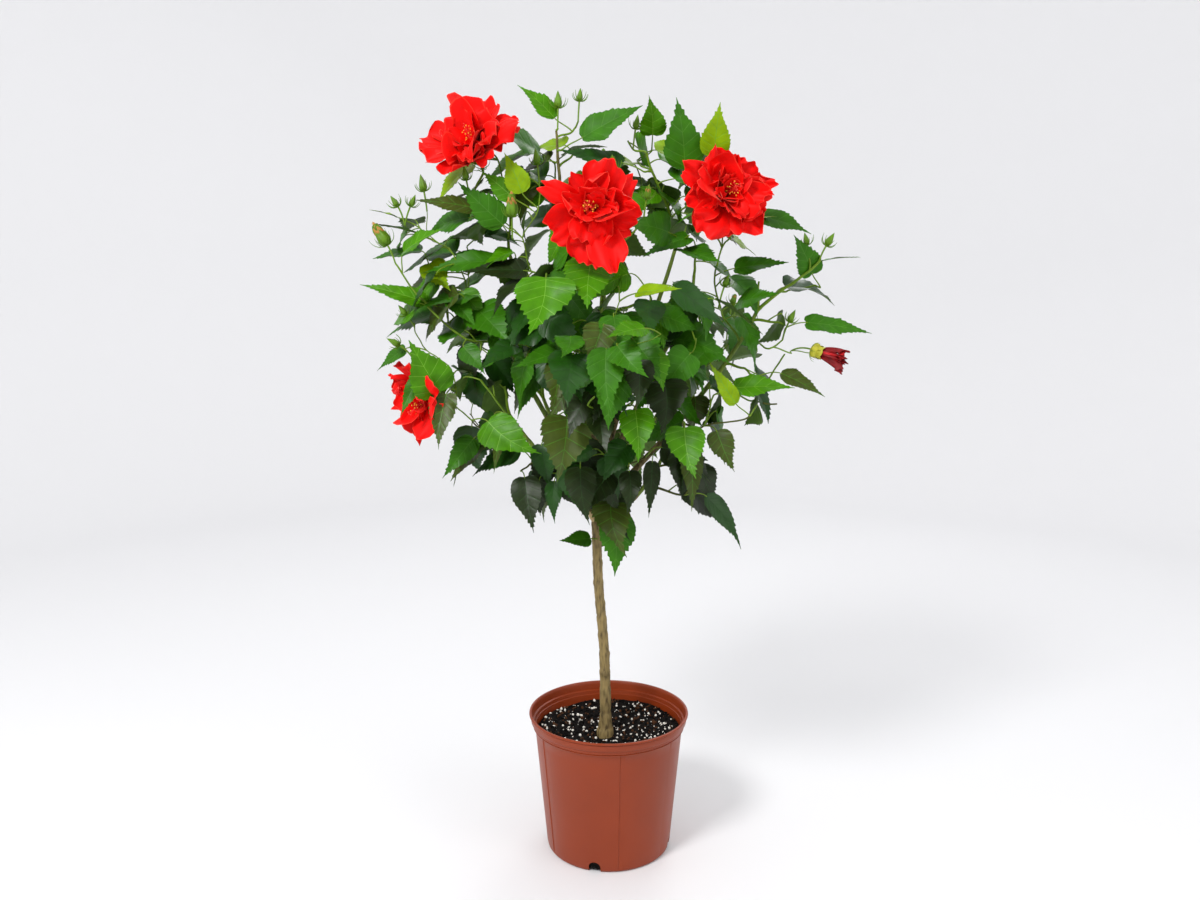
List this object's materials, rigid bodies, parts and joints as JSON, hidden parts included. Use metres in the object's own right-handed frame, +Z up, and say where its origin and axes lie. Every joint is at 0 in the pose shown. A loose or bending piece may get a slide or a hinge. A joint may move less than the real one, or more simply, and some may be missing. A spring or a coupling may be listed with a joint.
{
  "type": "hibiscus shrub in a nursery pot",
  "caption": "Flowering hibiscus shrub on a bare stem, with a loose leafy globe and large ruffled blooms, standing in a round plastic nursery pot.",
  "frame": {"origin": "centre of the pot's flat underside", "axes": "+Z up along the stem, the plant's front towards -Y, +X to its right seen from the front"},
  "size_m": [0.7983, 0.581, 1.1971],
  "materials": {
    "pot": "satin terracotta plastic",
    "soil": "matte potting mix",
    "bark": "matte bark",
    "foliage": "satin leaf",
    "bloom": "matte petal"
  },
  "bodies": {
    "root": {"bough_back": "bark", "bough_back_left": "bark", "bough_back_right": "bark", "bough_back_top": "bark", "bough_bloom_left": "bark", "bough_front": "bark", "bough_front_left": "bark", "bough_front_right": "bark", "bough_leader": "bark", "bough_left": "bark", "bough_left_low": "bark", "bough_right": "bark", "bough_right_upper": "bark", "bough_top_right": "bark", "foliage_back": "foliage", "foliage_back_left": "foliage", "foliage_back_low": "foliage", "foliage_back_right": "foliage", "foliage_back_top": "foliage", "foliage_bloom_front": "foliage", "foliage_bloom_left": "foliage", "foliage_bloom_right": "foliage", "foliage_front": "foliage", "foliage_front_left": "foliage", "foliage_front_right": "foliage", "foliage_hanging_low": "foliage", "foliage_hanging_right": "foliage", "foliage_left_hanging": "foliage", "foliage_left_low": "foliage", "foliage_left_tip": "foliage", "foliage_left_upper": "foliage", "foliage_low_front": "foliage", "foliage_low_leaf": "foliage", "foliage_low_left": "foliage", "foliage_low_right": "foliage", "foliage_right_low": "foliage", "foliage_right_tip": "foliage", "foliage_right_upper": "foliage", "foliage_top_left": "foliage", "foliage_top_middle": "foliage", "foliage_top_right": "foliage", "pot": "pot", "soil": "soil", "trunk": "bark"}
  },
  "joints": []
}
